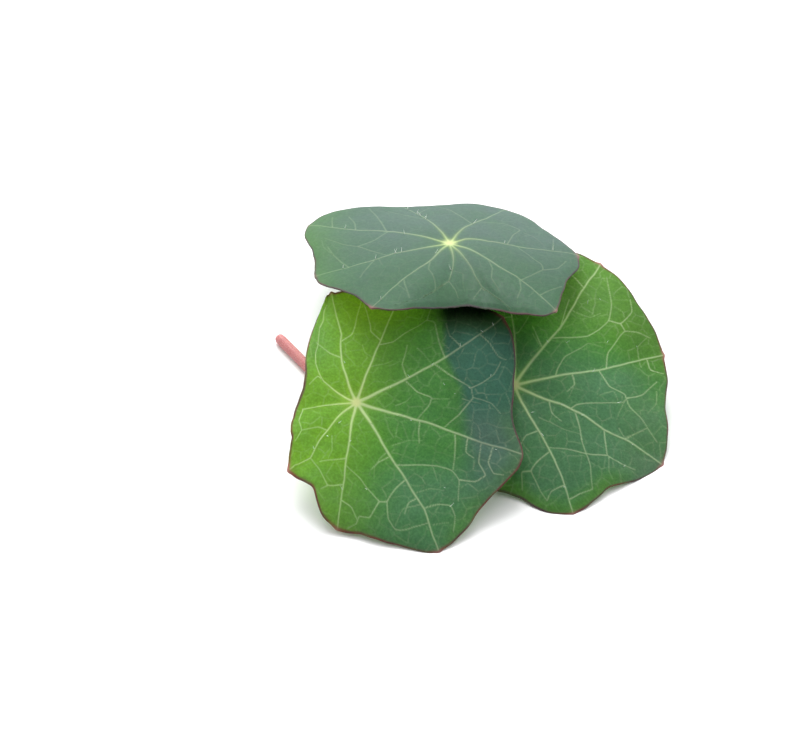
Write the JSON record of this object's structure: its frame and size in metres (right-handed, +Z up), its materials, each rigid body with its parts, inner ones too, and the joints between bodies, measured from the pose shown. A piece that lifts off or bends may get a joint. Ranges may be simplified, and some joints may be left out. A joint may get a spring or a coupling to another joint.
{
  "type": "nasturtium microgreens",
  "caption": "Cut nasturtium sprig lying on a surface: round shield leaves with wavy margins and radiating veins on slim petioles from one pink stem.",
  "frame": {"origin": "centre of the sprig's bounding box, on the surface it lies on", "axes": "+Z up; the cut end of the stem points to -X, and the low edges of the lower leaves to -Y"},
  "size_m": [0.0542, 0.058, 0.0182],
  "materials": {
    "leaf_green": "waxy leaf, blue-grey bloom over green, yellow-green veins, thin purple margin",
    "stem_pink": "smooth moist plant stem, pink-red, turning pale green towards the leaves"
  },
  "bodies": {
    "root": {"stem": "stem_pink", "leaf_left": "leaf_green", "leaf_top": "leaf_green", "leaf_right": "leaf_green"}
  },
  "joints": []
}
